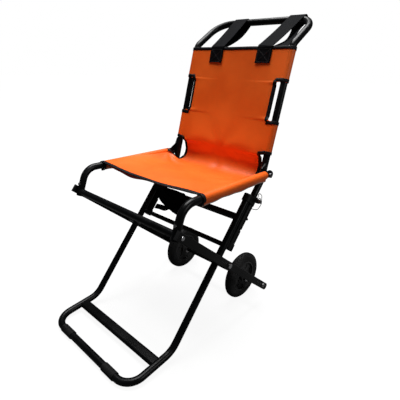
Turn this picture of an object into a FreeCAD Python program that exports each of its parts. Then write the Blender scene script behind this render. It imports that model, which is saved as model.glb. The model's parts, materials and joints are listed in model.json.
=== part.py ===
import FreeCAD, Part
import math
import os

# Folding stair chair: a tubular steel carry chair with a fabric seat and back.
# Frame: millimetres, +X to the sitter's left hand side, +Y to the rear, +Z up.
# The origin is on the floor, under the middle of the chair.
#
# Four frames make the chair:
#   legs   two slanted legs that run down into the footrest, with a socket tube behind each leg top
#   back   the back frame with its push handle, its lower ends plugged into the sockets
#   seat   two seat tubes hinged to the back frame and joined by the front cross tube
#   rails  two side rails that cross the legs, hinged to them, with the wheel axle at the rear
# Side-view points are (y, z) pairs, and angles are measured from +Y towards +Z.

V = FreeCAD.Vector

# ---- driving dimensions -------------------------------------------------------------------

# frame tubes
tube_od = 20.0
tube_wall = 1.5
front_tube_od = 18.0
thin_bar_od = 14.0

# widths, all from the middle of the chair to the middle of the tube
leg_half = 177.0
seat_gap = 2.5
rail_gap = 1.0
wheel_inset = 40.0

# legs and footrest, side view
leg_foot = (-214.9, 27.0)
leg_angle = 50.1
leg_length = 470.5
leg_foot_radius = 58.0
footrest_length = 145.2
footrest_corner_radius = 46.0
grip_length = 48.0
grip_wall = 2.0
grip_from_middle = 78.0
step_from_foot = 51.0
step_width = 30.0
step_height = 15.0
upper_bar_along = 403.0
lower_bar_along = 316.0

# sockets behind the leg tops, distances along the leg from its foot
slide_clearance = 0.1
slide_travel = 100.0
socket_wall = 1.9
socket_leg_gap = 3.0
socket_bottom_along = 314.0
socket_notch_along = 373.0
socket_notch_height = 6.0
socket_seat_depth = 6.0
clamp_height = 16.0
clamp_wall = 2.0
clamp_slot_width = 7.0
clamp_slot_depth = 8.0
guide_bottom_along = 455.0
guide_height = 27.0
guide_wall = 1.5
cap_thickness = 5.0
stud_along = 417.0
stud_od = 8.0
stud_length = 13.0

# back frame, side view
back_tube_inset = 12.0
back_bend_along = 536.0
back_bend_radius = 60.0
back_angle = 75.3
back_length = 380.0
back_kink_radius = 30.0
handle_angle = 32.5
handle_length = 135.5
handle_corner_radius = 56.0

# seat frame, side view
seat_pivot_up = 21.5
seat_pivot_forward = 14.0
seat_depth = 338.0
seat_front_radius = 44.0
seat_tube_tail = 15.0
seat_tube_toe = 13.0
rivet_above_pivot = 21.0
gusset_thickness = 3.0
gusset_top = 72.0
gusset_toe = 30.0

# rails, side view
cross_along = 270.0
rail_angle = -39.4
rail_front = 232.7
rail_front_tail = 13.0
rail_rear_tail = 33.0
rail_height = 22.0
rail_width = 10.0
rail_wall = 1.5
rail_cap_length = 5.0
spacer_od = 16.0

# fasteners
joint_gap = 0.4
pivot_bolt_od = 8.0
bolt_head_od = 14.0
bolt_head_height = 4.0
nut_width = 13.0
nut_height = 6.0
washer_thickness = 1.2
rivet_head_od = 8.0
rivet_head_height = 2.0
front_pivot_play = 3.4
plug_length = 14.0

# wheels
wheel_od = 158.0
tyre_width = 29.0
tyre_section = 27.0
rim_width = 24.0
rim_lip = 5.0
web_thickness = 8.0
spokes = 5
pocket_floor = 2.0
hub_od = 36.0
hub_width = 32.0
axle_od = 16.0
bush_wall = 2.0
spin_clearance = 0.08
collar_od = 27.0
collar_width = 9.0

# lock pins
pin_along = 472.0
pin_od = 6.0
pin_travel = 6.0
pin_collar = 1.2
barrel_floor = 2.0
pin_head_od = 10.0
pin_head_height = 6.0
lock_housing_od = 13.0
spring_solid = 2.4
pin_ring_od = 17.0
wire_od = 2.0

# sling of coated fabric
fabric = 1.4
fabric_gap = 0.2
seat_front_from_pivot = 284.0
seat_rear_from_pivot = 12.0
panel_bottom = 76.0
panel_top = 368.0
throat_half_width = 156.0
window_bottom = 171.0
window_top = 278.0
window_depth = 10.0
throat_bottom = 30.0

# carrying straps and stowed restraint strap
strap_width = 50.0
strap_thickness = 2.4
strap_middles = (-80.0, 108.0)
strap_patch = 47.0
restraint_from_middle = -68.0
restraint_width = 46.0
restraint_thickness = 3.0
restraint_drop = 30.0
buckle_size = (36.0, 16.0, 22.0)


# ---- side-view points ---------------------------------------------------------------------

def walk(start, angle, distance, behind=0.0):
    """The point at a distance along an angle, moved behind that line by an offset."""
    a = math.radians(angle)
    y = start[0] + distance * math.cos(a) + behind * math.sin(a)
    z = start[1] + distance * math.sin(a) - behind * math.cos(a)
    return (y, z)


def on_leg(along, behind=0.0):
    return walk(leg_foot, leg_angle, along, behind)


tube_id = tube_od - 2 * tube_wall
seat_half = leg_half + tube_od + seat_gap
rail_half = seat_half + tube_od / 2 + rail_gap + rail_width / 2
wheel_half = leg_half - wheel_inset
window_inner = leg_half - tube_od / 2 - window_depth
socket_od = tube_od + 2 * slide_clearance + 2 * socket_wall
slide_offset = (tube_od + socket_od) / 2 + socket_leg_gap
clamp_radius = socket_od / 2 + clamp_wall
guide_radius = socket_od / 2 + guide_wall
leg_top = on_leg(leg_length)
lock_housing_length = pin_travel + spring_solid + pin_collar + barrel_floor + joint_gap
grip_od = tube_od + 2 * grip_wall
front_bar_height = grip_od / 2
footrest_drop = math.asin((leg_foot[1] - front_bar_height) / footrest_length)
footrest_angle = 180.0 + math.degrees(footrest_drop)
front_bar = walk(leg_foot, footrest_angle, footrest_length)
back_foot = on_leg(socket_bottom_along + back_tube_inset, slide_offset)
back_bend = on_leg(back_bend_along, slide_offset)
back_kink = walk(back_bend, back_angle, back_length)
handle_top = walk(back_kink, handle_angle, handle_length)
seat_pivot = walk(back_bend, back_angle, seat_pivot_up, -seat_pivot_forward)
seat_corner = walk(seat_pivot, 180.0, seat_depth)
cross_pivot = on_leg(cross_along)
front_pivot = walk(cross_pivot, rail_angle, -rail_front)
rail_rear = (cross_pivot[1] - wheel_od / 2) / math.sin(math.radians(-rail_angle))
axle_point = walk(cross_pivot, rail_angle, rail_rear)

sides = (("left", 1.0), ("right", -1.0))


# ---- helpers ------------------------------------------------------------------------------

def at(x, point):
    return V(x, point[0], point[1])


def heading(angle):
    """Unit vector in the side plane."""
    a = math.radians(angle)
    return V(0, math.cos(a), math.sin(a))


def ring_face(centre, axis, outer, inner):
    wires = [Part.Wire([Part.Circle(centre, axis, outer / 2).toShape()])]
    if inner > 0:
        wires.append(Part.Wire([Part.Circle(centre, axis, inner / 2).toShape()]))
    return Part.makeFace(wires, "Part::FaceMakerBullseye")


def pipe(start, end, outer, inner=0.0):
    """Straight round tube, or a rod when inner is 0."""
    run = end - start
    return ring_face(start, run, outer, inner).extrude(run)


def fused(shapes):
    whole = shapes[0] if len(shapes) == 1 else shapes[0].multiFuse(shapes[1:])
    return whole.removeSplitter()


def bent_tube(points, radii, outer, inner=0.0):
    """Tube along straight runs joined by tangent bends, with one radius for each inner point."""
    pieces = []
    start = points[0]
    for corner, after, radius in zip(points[1:-1], points[2:], radii):
        before = (corner - start).normalize()
        leaving = (after - corner).normalize()
        turn = before.getAngle(leaving)
        reach = radius * math.tan(turn / 2)
        bend_start = corner - before * reach
        inward = (leaving - before).normalize()
        centre = corner + inward * (radius / math.cos(turn / 2))
        pieces.append(pipe(start, bend_start, outer, inner))
        face = ring_face(bend_start, before, outer, inner)
        pieces.append(face.revolve(centre, before.cross(leaving), math.degrees(turn)))
        start = corner + leaving * reach
    pieces.append(pipe(start, points[-1], outer, inner))
    return fused(pieces)


def side_prism(outline, x_from, x_to):
    """Closed side-view outline made solid between two X positions."""
    corners = [at(x_from, point) for point in outline]
    face = Part.Face(Part.makePolygon(corners + corners[:1]))
    return face.extrude(V(x_to - x_from, 0, 0))


def cross_rod(point, x_from, x_to, outer, inner=0.0):
    return pipe(at(x_from, point), at(x_to, point), outer, inner)


def hexagon(point, x_from, x_to, width):
    """Hexagon nut blank along X, of the given width across flats."""
    radius = width / math.sqrt(3)
    outline = [walk(point, 60 * step, radius) for step in range(6)]
    return side_prism(outline, x_from, x_to)


def largest(shape):
    return max(shape.Solids, key=lambda solid: solid.Volume)


def both(make):
    """One compound with the piece made for each side."""
    return Part.makeCompound([make(sign) for name, sign in sides])


def save(name, shape):
    shape.exportStep("parts/%s.step" % name)


# ---- legs body: legs, footrest, sockets ---------------------------------------------------

def leg_path():
    half = [leg_top, leg_foot, front_bar]
    left = [at(leg_half, point) for point in half]
    right = [at(-leg_half, point) for point in reversed(half)]
    return left + right


def leg_radii():
    return [leg_foot_radius, footrest_corner_radius, footrest_corner_radius, leg_foot_radius]


def leg_frame():
    frame = bent_tube(leg_path(), leg_radii(), tube_od, tube_id)
    bolt = cross_rod(cross_pivot, -rail_half, rail_half, pivot_bolt_od)
    return frame.cut(bolt)


def leg_blank():
    return bent_tube(leg_path(), leg_radii(), tube_od)


def between_legs(bar):
    """A cross bar saddle-cut to the tubes that it is welded to."""
    return largest(bar.cut(leg_blank()))


def leg_bar(along, outer):
    return between_legs(cross_rod(on_leg(along), -leg_half, leg_half, outer, outer - 2 * tube_wall))


def footrest_step():
    """Flat-sided oval tube across the rear of the footrest."""
    middle = walk(leg_foot, footrest_angle, step_from_foot)
    straight = (step_width - step_height) / 2

    def oval(height):
        ends = [walk(middle, footrest_angle, side * straight) for side in (-1, 1)]
        rods = [cross_rod(end, -leg_half, leg_half, height) for end in ends]
        corners = [walk(end, footrest_angle, 0, side * height / 2)
                   for end, side in ((ends[0], -1), (ends[1], -1), (ends[1], 1), (ends[0], 1))]
        return fused(rods + [side_prism(corners, -leg_half, leg_half)])

    return between_legs(oval(step_height).cut(oval(step_height - 2 * tube_wall)))


def footrest_grip(sign):
    near = sign * grip_from_middle
    far = sign * (grip_from_middle + grip_length)
    return cross_rod(front_bar, near, far, grip_od, tube_od + 0.02)


def lobe_block(x, along, height, radius, behinds):
    """Block around one or two parallel tubes, with round ends and flat sides."""
    up = heading(leg_angle)
    parts = [pipe(at(x, on_leg(along, b)), at(x, on_leg(along, b)) + up * height, 2 * radius)
             for b in behinds]
    if len(behinds) == 2:
        corners = [on_leg(along, behinds[0]), on_leg(along, behinds[1]),
                   on_leg(along + height, behinds[1]), on_leg(along + height, behinds[0])]
        parts.append(side_prism(corners, x - radius, x + radius))
    return fused(parts)


def leg_guide(sign):
    """Block on the leg top that caps the leg and guides the back tube."""
    x = sign * leg_half
    block = lobe_block(x, guide_bottom_along, guide_height, guide_radius, (0.0, slide_offset))
    trim_from = leg_length + cap_thickness
    trim = lobe_block(x, trim_from, guide_height, guide_radius + 1, (0.0,))
    keep = lobe_block(x, trim_from, guide_height, guide_radius, (slide_offset,))
    block = block.cut(trim.cut(keep))
    leg = pipe(at(x, on_leg(guide_bottom_along - 1)), at(x, leg_top), tube_od)
    sleeve_bore = slide_bore(x, tube_od + 2 * slide_clearance)
    socket_seat = pipe(at(x, on_leg(guide_bottom_along - 1, slide_offset)),
                       at(x, on_leg(guide_bottom_along + socket_seat_depth, slide_offset)), socket_od)
    pin_hole = cross_rod(pin_point(), x, sign * (leg_half + 2 * guide_radius), pin_od + 2 * slide_clearance)
    return block.cut(leg).cut(sleeve_bore).cut(socket_seat).cut(pin_hole)


def slide_bore(x, bore):
    low = at(x, on_leg(socket_bottom_along - 20, slide_offset))
    high = at(x, on_leg(guide_bottom_along + guide_height + 20, slide_offset))
    return pipe(low, high, bore)


def socket_tube(sign):
    """Socket behind the leg, in two lengths with a gap that bares the tube inside."""
    x = sign * leg_half
    inner = tube_od + 2 * slide_clearance
    upper_from = socket_notch_along + socket_notch_height

    def length(start, end):
        return pipe(at(x, on_leg(start, slide_offset)), at(x, on_leg(end, slide_offset)), socket_od, inner)

    lower = length(socket_bottom_along, socket_notch_along)
    upper = length(upper_from, guide_bottom_along + socket_seat_depth)
    return Part.makeCompound([lower, upper])


def leg_rod(x):
    return pipe(at(x, on_leg(0)), at(x, leg_top), tube_od)


def socket_clamp(sign):
    """Clamp that ties the lower end of the socket to the leg, slotted below like a castle nut."""
    x = sign * leg_half
    bottom = socket_bottom_along - 4
    ring = lobe_block(x, bottom, clamp_height + 4, clamp_radius, (slide_offset,))
    saddle = side_prism([on_leg(bottom + 6, 0), on_leg(bottom + 6, slide_offset),
                         on_leg(bottom + clamp_height + 4, slide_offset),
                         on_leg(bottom + clamp_height + 4, 0)], x - 8.0, x + 8.0)
    slot_low = bottom - 1
    slot_high = bottom + clamp_slot_depth
    near = slide_offset - clamp_slot_width / 2
    far = slide_offset + clamp_slot_width / 2
    slot = side_prism([on_leg(slot_low, near), on_leg(slot_low, far),
                       on_leg(slot_high, far), on_leg(slot_high, near)],
                      x - clamp_radius - 1, x + clamp_radius + 1)
    return largest(fused([ring, saddle]).cut(slide_bore(x, socket_od)).cut(leg_rod(x)).cut(slot))


def socket_stud(sign):
    """Round-headed screw on the rear of the socket."""
    x = sign * leg_half
    face = slide_offset + socket_od / 2
    seat = at(x, on_leg(stud_along, face - 1.5))
    neck_end = at(x, on_leg(stud_along, face + stud_length - 5))
    tip = at(x, on_leg(stud_along, face + stud_length))
    screw = fused([pipe(seat, neck_end, stud_od - 3), pipe(neck_end, tip, stud_od)])
    return screw.cut(slide_bore(x, socket_od))


def cross_spacer(sign):
    """Spacer between leg and rail, saddle-cut to the leg."""
    inner_end = sign * leg_half
    outer_end = sign * (rail_half - rail_width / 2 - washer_thickness)
    blank = cross_rod(cross_pivot, inner_end, outer_end, spacer_od, pivot_bolt_od)
    return largest(blank.cut(leg_rod(inner_end)))


def cross_bolt(sign):
    """Shoulder bolt through leg and rail, with its head on the rail."""
    inner_end = sign * (leg_half - tube_od / 2 - nut_height - 2)
    head_face = sign * (rail_half + rail_width / 2 + joint_gap)
    head_end = head_face + sign * bolt_head_height
    shank = cross_rod(cross_pivot, inner_end, head_face, pivot_bolt_od)
    head = cross_rod(cross_pivot, head_face, head_end, bolt_head_od)
    return fused([shank, head])


def cross_nut(sign):
    face = sign * (leg_half - tube_od / 2)
    nut = hexagon(cross_pivot, face, face - sign * nut_height, nut_width)
    return nut.cut(cross_rod(cross_pivot, 0, sign * leg_half, pivot_bolt_od)).cut(leg_rod(sign * leg_half))


# ---- lock pins ----------------------------------------------------------------------------

def pin_point():
    return on_leg(pin_along, slide_offset)


def lock_face():
    """Distance from the middle of the chair to the outside of the guide block."""
    return leg_half + guide_radius


def lock_housing(sign):
    """Threaded barrel on the guide that holds the sprung pin."""
    start = sign * lock_face()
    end = sign * (lock_face() + lock_housing_length)
    barrel = cross_rod(pin_point(), start, end, lock_housing_od, pin_od + 2 * slide_clearance)
    well = cross_rod(pin_point(), start, end - sign * barrel_floor, lock_housing_od - 3)
    return barrel.cut(well)


def lock_pin(sign):
    """Pull pin: nose in the slot of the back tube, collar in the barrel, head outside."""
    nose = sign * (leg_half + tube_id / 2 - 1)
    collar_from = sign * (lock_face() + joint_gap)
    collar_to = collar_from + sign * pin_collar
    head_from = sign * (lock_face() + lock_housing_length + joint_gap)
    head_to = head_from + sign * pin_head_height
    rod = cross_rod(pin_point(), nose, head_from, pin_od)
    collar = cross_rod(pin_point(), collar_from, collar_to, lock_housing_od - 4)
    head = cross_rod(pin_point(), head_from, head_to, pin_head_od)
    ring = ring_torus(sign)
    return fused([rod, collar, head]).cut(ring)


def ring_torus(sign):
    x = sign * (lock_face() + lock_housing_length + joint_gap + pin_head_height / 2)
    middle = walk(pin_point(), leg_angle + 90, pin_ring_od / 2 - wire_od / 2 + 1)
    return Part.makeTorus((pin_ring_od - wire_od) / 2, wire_od / 2, at(x, middle), V(1, 0, 0))


def lock_spring(sign):
    """Coil spring round the pin, as a thin sleeve of its closed-up length."""
    end = lock_face() + lock_housing_length - barrel_floor - slide_clearance
    start = end - spring_solid + 2 * slide_clearance
    return cross_rod(pin_point(), sign * start, sign * end, pin_od + 2.6, pin_od + 0.6)


def lanyard(sign):
    """Short wire from the pull ring round behind the guide block to the socket."""
    ring_x = lock_face() + lock_housing_length + joint_gap + pin_head_height / 2
    route = ((ring_x - wire_od - 0.1, pin_along, 9.0), (ring_x - 5.0, pin_along + 20.0, 5.0),
             (ring_x - 8.0, pin_along + 22.0, 32.0), (ring_x - 10.0, pin_along + 4.0, 54.0),
             (ring_x - 12.0, pin_along - 18.0, 52.0), (leg_half + 6.0, pin_along - 24.0, 36.8))
    points = [at(sign * x, on_leg(along, behind)) for x, along, behind in route]
    return bent_tube(points, [9.0, 12.0, 12.0, 11.0], wire_od)


# ---- back body: back frame, gussets, sling, carrying straps --------------------------------

def on_back(up, behind=0.0):
    return walk(back_bend, back_angle, up, behind)


def back_path():
    half = [back_foot, back_bend, back_kink, handle_top]
    left = [at(leg_half, point) for point in half]
    right = [at(-leg_half, point) for point in reversed(half)]
    return left + right


def back_radii():
    half = [back_bend_radius, back_kink_radius, handle_corner_radius]
    return half + half[::-1]


def back_frame():
    """Back tube, with a slot in each lower end that runs on the lock pin."""
    frame = bent_tube(back_path(), back_radii(), tube_od, tube_id)
    half_slot = pin_od / 2 + slide_clearance
    low = pin_along - slide_travel
    outline = [on_leg(low, slide_offset - half_slot), on_leg(low, slide_offset + half_slot),
               on_leg(pin_along, slide_offset + half_slot), on_leg(pin_along, slide_offset - half_slot)]
    for name, sign in sides:
        inner = sign * leg_half
        outer = sign * (leg_half + tube_od)
        frame = frame.cut(side_prism(outline, inner, outer))
        for along in (low, pin_along):
            frame = frame.cut(cross_rod(on_leg(along, slide_offset), inner, outer, 2 * half_slot))
    return frame


def gusset(sign):
    """Plate on the flank of the back tube that carries the seat pivot."""
    foot = seat_pivot_up - 6
    outline = [on_back(foot), on_back(gusset_top), on_back(gusset_top, -8), on_back(gusset_top - 22, -12),
               on_back(seat_pivot_up + 14, -gusset_toe + 3), on_back(seat_pivot_up - 4, -gusset_toe),
               on_back(seat_pivot_up - 18, -gusset_toe + 4), on_back(foot, -11)]
    outer = sign * (leg_half + tube_od / 2)
    plate = side_prism(outline, outer - sign * gusset_thickness, outer)
    bolt = cross_rod(seat_pivot, 0, sign * rail_half, pivot_bolt_od)
    tube = pipe(at(sign * leg_half, on_back(0)), at(sign * leg_half, on_back(gusset_top + 10)), tube_od)
    return largest(plate.cut(bolt).cut(tube))


def seat_pivot_bolt(sign):
    inner = sign * (leg_half + tube_od / 2 - gusset_thickness - 1.5)
    face = sign * (seat_half + tube_od / 2 + joint_gap)
    shank = cross_rod(seat_pivot, inner, face, pivot_bolt_od)
    return fused([shank, cross_rod(seat_pivot, face, face + sign * bolt_head_height, bolt_head_od)])


def seat_pivot_washer(sign):
    inner = leg_half + tube_od / 2
    outer = seat_half - tube_od / 2 - slide_clearance
    return cross_rod(seat_pivot, sign * inner, sign * outer, tube_od - 4, pivot_bolt_od)


def back_sleeve(sign, low, high):
    """Fabric sleeve round the back tube."""
    x = sign * leg_half
    inner = tube_od + 2 * fabric_gap
    return pipe(at(x, on_back(low)), at(x, on_back(high)), inner + 2 * fabric, inner)


def fabric_front():
    """How far the front face of the back fabric lies before the tube's middle."""
    return tube_od / 2 + fabric_gap + fabric


def back_panel(low, high, half_width):
    front = -fabric_front()
    rear = front + fabric
    outline = [on_back(low, front), on_back(high, front), on_back(high, rear), on_back(low, rear)]
    return side_prism(outline, -half_width, half_width)


def back_sling():
    """Fabric back: sleeves on the tubes, side windows for the hands and a narrow throat."""
    pieces = [back_panel(panel_bottom, window_bottom, leg_half),
              back_panel(window_bottom, window_top, window_inner),
              back_panel(window_top, panel_top, leg_half),
              back_panel(throat_bottom, panel_bottom, throat_half_width)]
    for name, sign in sides:
        pieces.append(back_sleeve(sign, panel_bottom, window_bottom))
        pieces.append(back_sleeve(sign, window_top, panel_top))
    bores = [pipe(at(sign * leg_half, on_back(0)), at(sign * leg_half, on_back(back_length)),
                  tube_od + 2 * fabric_gap) for name, sign in sides]
    return largest(fused(pieces).cut(fused(bores)))


def tangent(point, centre, radius, side):
    """Where a line from a point touches a circle, on the side given by +1 or -1."""
    away = (point[0] - centre[0], point[1] - centre[1])
    distance = math.hypot(away[0], away[1])
    turn = math.degrees(math.atan2(away[1], away[0])) + side * math.degrees(math.acos(radius / distance))
    return walk(centre, turn, radius), turn


def ribbon(path, thickness, x_from, x_to):
    """Band of fabric along a side-view path, extruded along X."""
    left = []
    right = []
    for index, point in enumerate(path):
        before = path[max(index - 1, 0)]
        after = path[min(index + 1, len(path) - 1)]
        angle = math.degrees(math.atan2(after[1] - before[1], after[0] - before[0]))
        left.append(walk(point, angle, 0, -thickness / 2))
        right.append(walk(point, angle, 0, thickness / 2))
    return side_prism(left + right[::-1], x_from, x_to)


def carry_strap(middle):
    """Webbing from the front of the panel, over the push bar and down its rear."""
    half = strap_thickness / 2
    front = -(fabric_front() + slide_clearance + half)
    rear = -(fabric_front() - fabric - slide_clearance - half)
    start = on_back(panel_top - strap_patch, front)
    lift = on_back(panel_top, front)
    finish = on_back(panel_top - strap_patch + 10, rear)
    radius = tube_od / 2 + slide_clearance + half
    over, over_turn = tangent(lift, handle_top, radius, -1)
    under, under_turn = tangent(finish, handle_top, radius, 1)
    if under_turn > over_turn:
        under_turn -= 360.0
    steps = 16
    wrap = [walk(handle_top, over_turn + (under_turn - over_turn) * step / steps, radius)
            for step in range(1, steps)]
    path = [start, lift, over] + wrap + [under, finish]
    return ribbon(path, strap_thickness, middle - strap_width / 2, middle + strap_width / 2)


# ---- restraint strap stowed on the upper cross bar -----------------------------------------

def restraint_middle():
    return on_leg(upper_bar_along)


def restraint_strap():
    """Webbing wound on the cross bar, with a short tail below it."""
    x_from = restraint_from_middle - restraint_width / 2
    x_to = restraint_from_middle + restraint_width / 2
    bore = tube_od + 2 * slide_clearance
    wound = cross_rod(restraint_middle(), x_from, x_to, bore + 2 * restraint_thickness, bore)
    below = walk(restraint_middle(), -90.0, bore / 2 + restraint_thickness / 2)
    tail = side_prism([walk(below, 0, -1.5), walk(below, 0, 1.5),
                       walk(walk(below, 0, 1.5), -90.0, restraint_drop),
                       walk(walk(below, 0, -1.5), -90.0, restraint_drop)], x_from + 6, x_to - 6)
    return fused([wound, tail])


def restraint_buckle():
    width, depth, height = buckle_size
    hang = tube_od / 2 + slide_clearance + restraint_thickness / 2 + restraint_drop
    centre = walk(restraint_middle(), -90.0, hang + height / 2)
    corner = at(restraint_from_middle - width / 2, walk(walk(centre, 0, -depth / 2), -90.0, height / 2))
    block = Part.makeBox(width, depth, height, corner)
    return block.makeFillet(3.0, block.Edges)


# ---- seat body ----------------------------------------------------------------------------

def seat_path(sign):
    x = sign * seat_half
    drop = at(x, front_pivot) - at(x, seat_corner)
    toe = at(x, front_pivot) + drop.normalize() * seat_tube_toe
    return [at(x, walk(seat_pivot, 0, seat_tube_tail)), at(x, seat_corner), toe]


def seat_blank(sign):
    return bent_tube(seat_path(sign), [seat_front_radius], tube_od)


def seat_tube(sign):
    """Seat tube, hinged at its rear end and turned down at its front end."""
    tube = bent_tube(seat_path(sign), [seat_front_radius], tube_od, tube_id)
    near = sign * (seat_half - tube_od)
    far = sign * (seat_half + tube_od)
    hinge = cross_rod(seat_pivot, near, far, pivot_bolt_od + 2 * slide_clearance)
    pin = cross_rod(front_pivot, near, far, pivot_bolt_od)
    return tube.cut(hinge).cut(pin)


def front_cross_tube():
    rod = cross_rod(front_pivot, -seat_half, seat_half, front_tube_od, front_tube_od - 2 * tube_wall)
    return largest(rod.cut(seat_blank(1.0)).cut(seat_blank(-1.0)))


def front_tube_plug(sign):
    """Threaded plug in the end of the front cross tube."""
    outer = sign * (seat_half - tube_od / 2)
    inner = outer - sign * plug_length
    plug = cross_rod(front_pivot, inner, outer, front_tube_od - 2 * tube_wall, pivot_bolt_od)
    return largest(plug.cut(seat_blank(sign)))


def front_pivot_pin(sign):
    """Stud from the cross tube through the seat tube into the hollow of the rail."""
    inner = sign * (seat_half - tube_od / 2 - plug_length)
    wall_face = rail_half - rail_width / 2 + rail_wall
    neck_end = sign * (wall_face + joint_gap)
    return cross_rod(front_pivot, inner, neck_end + sign * 3, pivot_bolt_od)


def seat_rivet(sign):
    """Round rivet head on the front of each seat tube, above the front pivot."""
    path = seat_path(sign)
    up = (path[1] - path[2]).normalize()
    seat_point = at(sign * seat_half, front_pivot) + up * rivet_above_pivot
    out = V(0, -up.z, up.y)
    if out.y > 0:
        out = out * -1
    base = seat_point + out * (tube_od / 2 - 0.6)
    head = pipe(base, seat_point + out * (tube_od / 2 + rivet_head_height), rivet_head_od)
    return largest(head.cut(seat_blank(sign)))


def seat_tube_cap(sign):
    """Domed plastic cap on the rear end of the seat tube."""
    x = sign * seat_half
    end = walk(seat_pivot, 0, seat_tube_tail)
    plug = pipe(at(x, walk(end, 0, -6)), at(x, end), tube_id)
    flange = pipe(at(x, end), at(x, walk(end, 0, 3.5)), tube_od)
    rim = [edge for edge in flange.Edges if edge.BoundBox.YMin > end[0] + 3]
    return fused([plug, flange.makeFillet(3.0, rim)])


def seat_sling():
    """Fabric seat: a sleeve on each seat tube and the sheet between them."""
    front = seat_pivot[0] - seat_front_from_pivot
    rear = seat_pivot[0] - seat_rear_from_pivot
    z = seat_pivot[1]
    low = z + tube_od / 2 + fabric_gap
    inner = tube_od + 2 * fabric_gap
    sheet = Part.makeBox(2 * seat_half, rear - front, fabric, V(-seat_half, front, low))
    pieces = [sheet]
    bores = []
    for name, sign in sides:
        start = V(sign * seat_half, front, z)
        end = V(sign * seat_half, rear, z)
        pieces.append(pipe(start, end, inner + 2 * fabric))
        bores.append(pipe(start, end, inner))
    return largest(fused(pieces).cut(bores[0]).cut(bores[1]))


# ---- rails body: rails, axle --------------------------------------------------------------

def on_rail(along):
    """Side-view point on the rail, measured from the crossing towards the rear."""
    return walk(cross_pivot, rail_angle, along)


def rail_box(sign, start, end, width, height):
    x = sign * rail_half
    half = height / 2
    outline = [walk(on_rail(start), rail_angle, 0, -half), walk(on_rail(end), rail_angle, 0, -half),
               walk(on_rail(end), rail_angle, 0, half), walk(on_rail(start), rail_angle, 0, half)]
    return side_prism(outline, x - width / 2, x + width / 2)


def rail_ends():
    return -rail_front - rail_front_tail, rail_rear + rail_rear_tail - rail_height / 2


def rail(sign):
    """Rectangular side rail with rounded corners."""
    front, rear = rail_ends()
    bar = rail_box(sign, front, rear, rail_width, rail_height)
    long_edges = [edge for edge in bar.Edges if abs(edge.Length - (rear - front)) < 0.1]
    bar = bar.makeFillet(2.5, long_edges)
    bar = bar.cut(rail_box(sign, front, rear, rail_width - 2 * rail_wall, rail_height - 2 * rail_wall))
    near = sign * (rail_half - rail_width)
    middle = sign * rail_half
    far = sign * (rail_half + rail_width)
    bar = bar.cut(cross_rod(cross_pivot, near, far, pivot_bolt_od + 2 * slide_clearance))
    bar = bar.cut(cross_rod(axle_point, near, far, pivot_bolt_od))
    return bar.cut(cross_rod(front_pivot, near, middle, pivot_bolt_od + 2 * front_pivot_play))


def rail_front_cap(sign):
    front, rear = rail_ends()
    plug = rail_box(sign, front, front + rail_cap_length, rail_width - 2 * rail_wall,
                    rail_height - 2 * rail_wall)
    flange = rail_box(sign, front - rail_cap_length / 2, front, rail_width, rail_height)
    return fused([plug, flange])


def rail_rear_cap(sign):
    """Plug with a half-round end."""
    front, rear = rail_ends()
    x = sign * rail_half
    half = rail_width / 2
    plug = rail_box(sign, rear - rail_cap_length, rear, rail_width - 2 * rail_wall,
                    rail_height - 2 * rail_wall)
    disc = cross_rod(on_rail(rear), x - half, x + half, rail_height)
    keep = rail_box(sign, rear, rear + rail_height, rail_width, rail_height)
    return fused([plug, disc.common(keep)])


def cross_washer(sign):
    inner = sign * (rail_half - rail_width / 2 - washer_thickness)
    outer = sign * (rail_half - rail_width / 2)
    return cross_rod(cross_pivot, inner, outer, spacer_od + 2, pivot_bolt_od + 2 * slide_clearance)


def front_pivot_cap(sign):
    """Bright screw head that closes the rail over the front pivot."""
    face = sign * (rail_half + rail_width / 2)
    head = cross_rod(front_pivot, face, face + sign * 3, bolt_head_od - 3)
    rim = [edge for edge in head.Edges if abs(edge.BoundBox.XMin - face) > 2 and
           abs(edge.BoundBox.XMax - face) > 2]
    return head.makeFillet(1.5, rim)


def wheel_axle():
    end = rail_half - rail_width / 2
    return cross_rod(axle_point, -end, end, axle_od, axle_od - 2 * bush_wall)


def axle_plug(sign):
    outer = sign * (rail_half - rail_width / 2)
    return cross_rod(axle_point, outer - sign * plug_length, outer, axle_od - 2 * bush_wall, pivot_bolt_od)


def axle_bolt(sign):
    inner = sign * (rail_half - rail_width / 2 - plug_length)
    face = sign * (rail_half + rail_width / 2)
    shank = cross_rod(axle_point, inner, face, pivot_bolt_od)
    head = cross_rod(axle_point, face, face + sign * bolt_head_height, bolt_head_od - 2)
    socket = hexagon(axle_point, face + sign * 1.5, face + sign * (bolt_head_height + 1), 5.0)
    return fused([shank, head]).cut(socket)


def axle_collar(x):
    return cross_rod(axle_point, x - collar_width / 2, x + collar_width / 2, collar_od, axle_od)


def axle_collars():
    """Two shaft collars for each wheel, one on either side of its hub."""
    reach = hub_width / 2 + joint_gap + collar_width / 2
    places = [sign * wheel_half + side * reach for name, sign in sides for side in (-1, 1)]
    return Part.makeCompound([axle_collar(x) for x in places])


# ---- wheels -------------------------------------------------------------------------------

def turned(outline, x):
    """Solid of revolution about the axle, from (radius, width) points."""
    points = [at(x + across, (axle_point[0], axle_point[1] + radius)) for radius, across in outline]
    face = Part.Face(Part.makePolygon(points + points[:1]))
    return face.revolve(at(x, axle_point), V(1, 0, 0), 360)


def tyre(sign):
    """Solid rubber tyre with a rounded tread."""
    x = sign * wheel_half
    outer = wheel_od / 2
    inner = outer - tyre_section
    half = tyre_width / 2
    seat_half_width = rim_width / 2
    outline = [(inner, -seat_half_width), (inner + rim_lip, -half), (outer - 12, -half)]
    steps = 8
    for step in range(steps + 1):
        angle = math.pi * step / steps
        outline.append((outer - 12 + 12 * math.sin(angle), -half * math.cos(angle)))
    outline += [(inner + rim_lip, half), (inner, seat_half_width)]
    return turned(outline, x)


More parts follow.
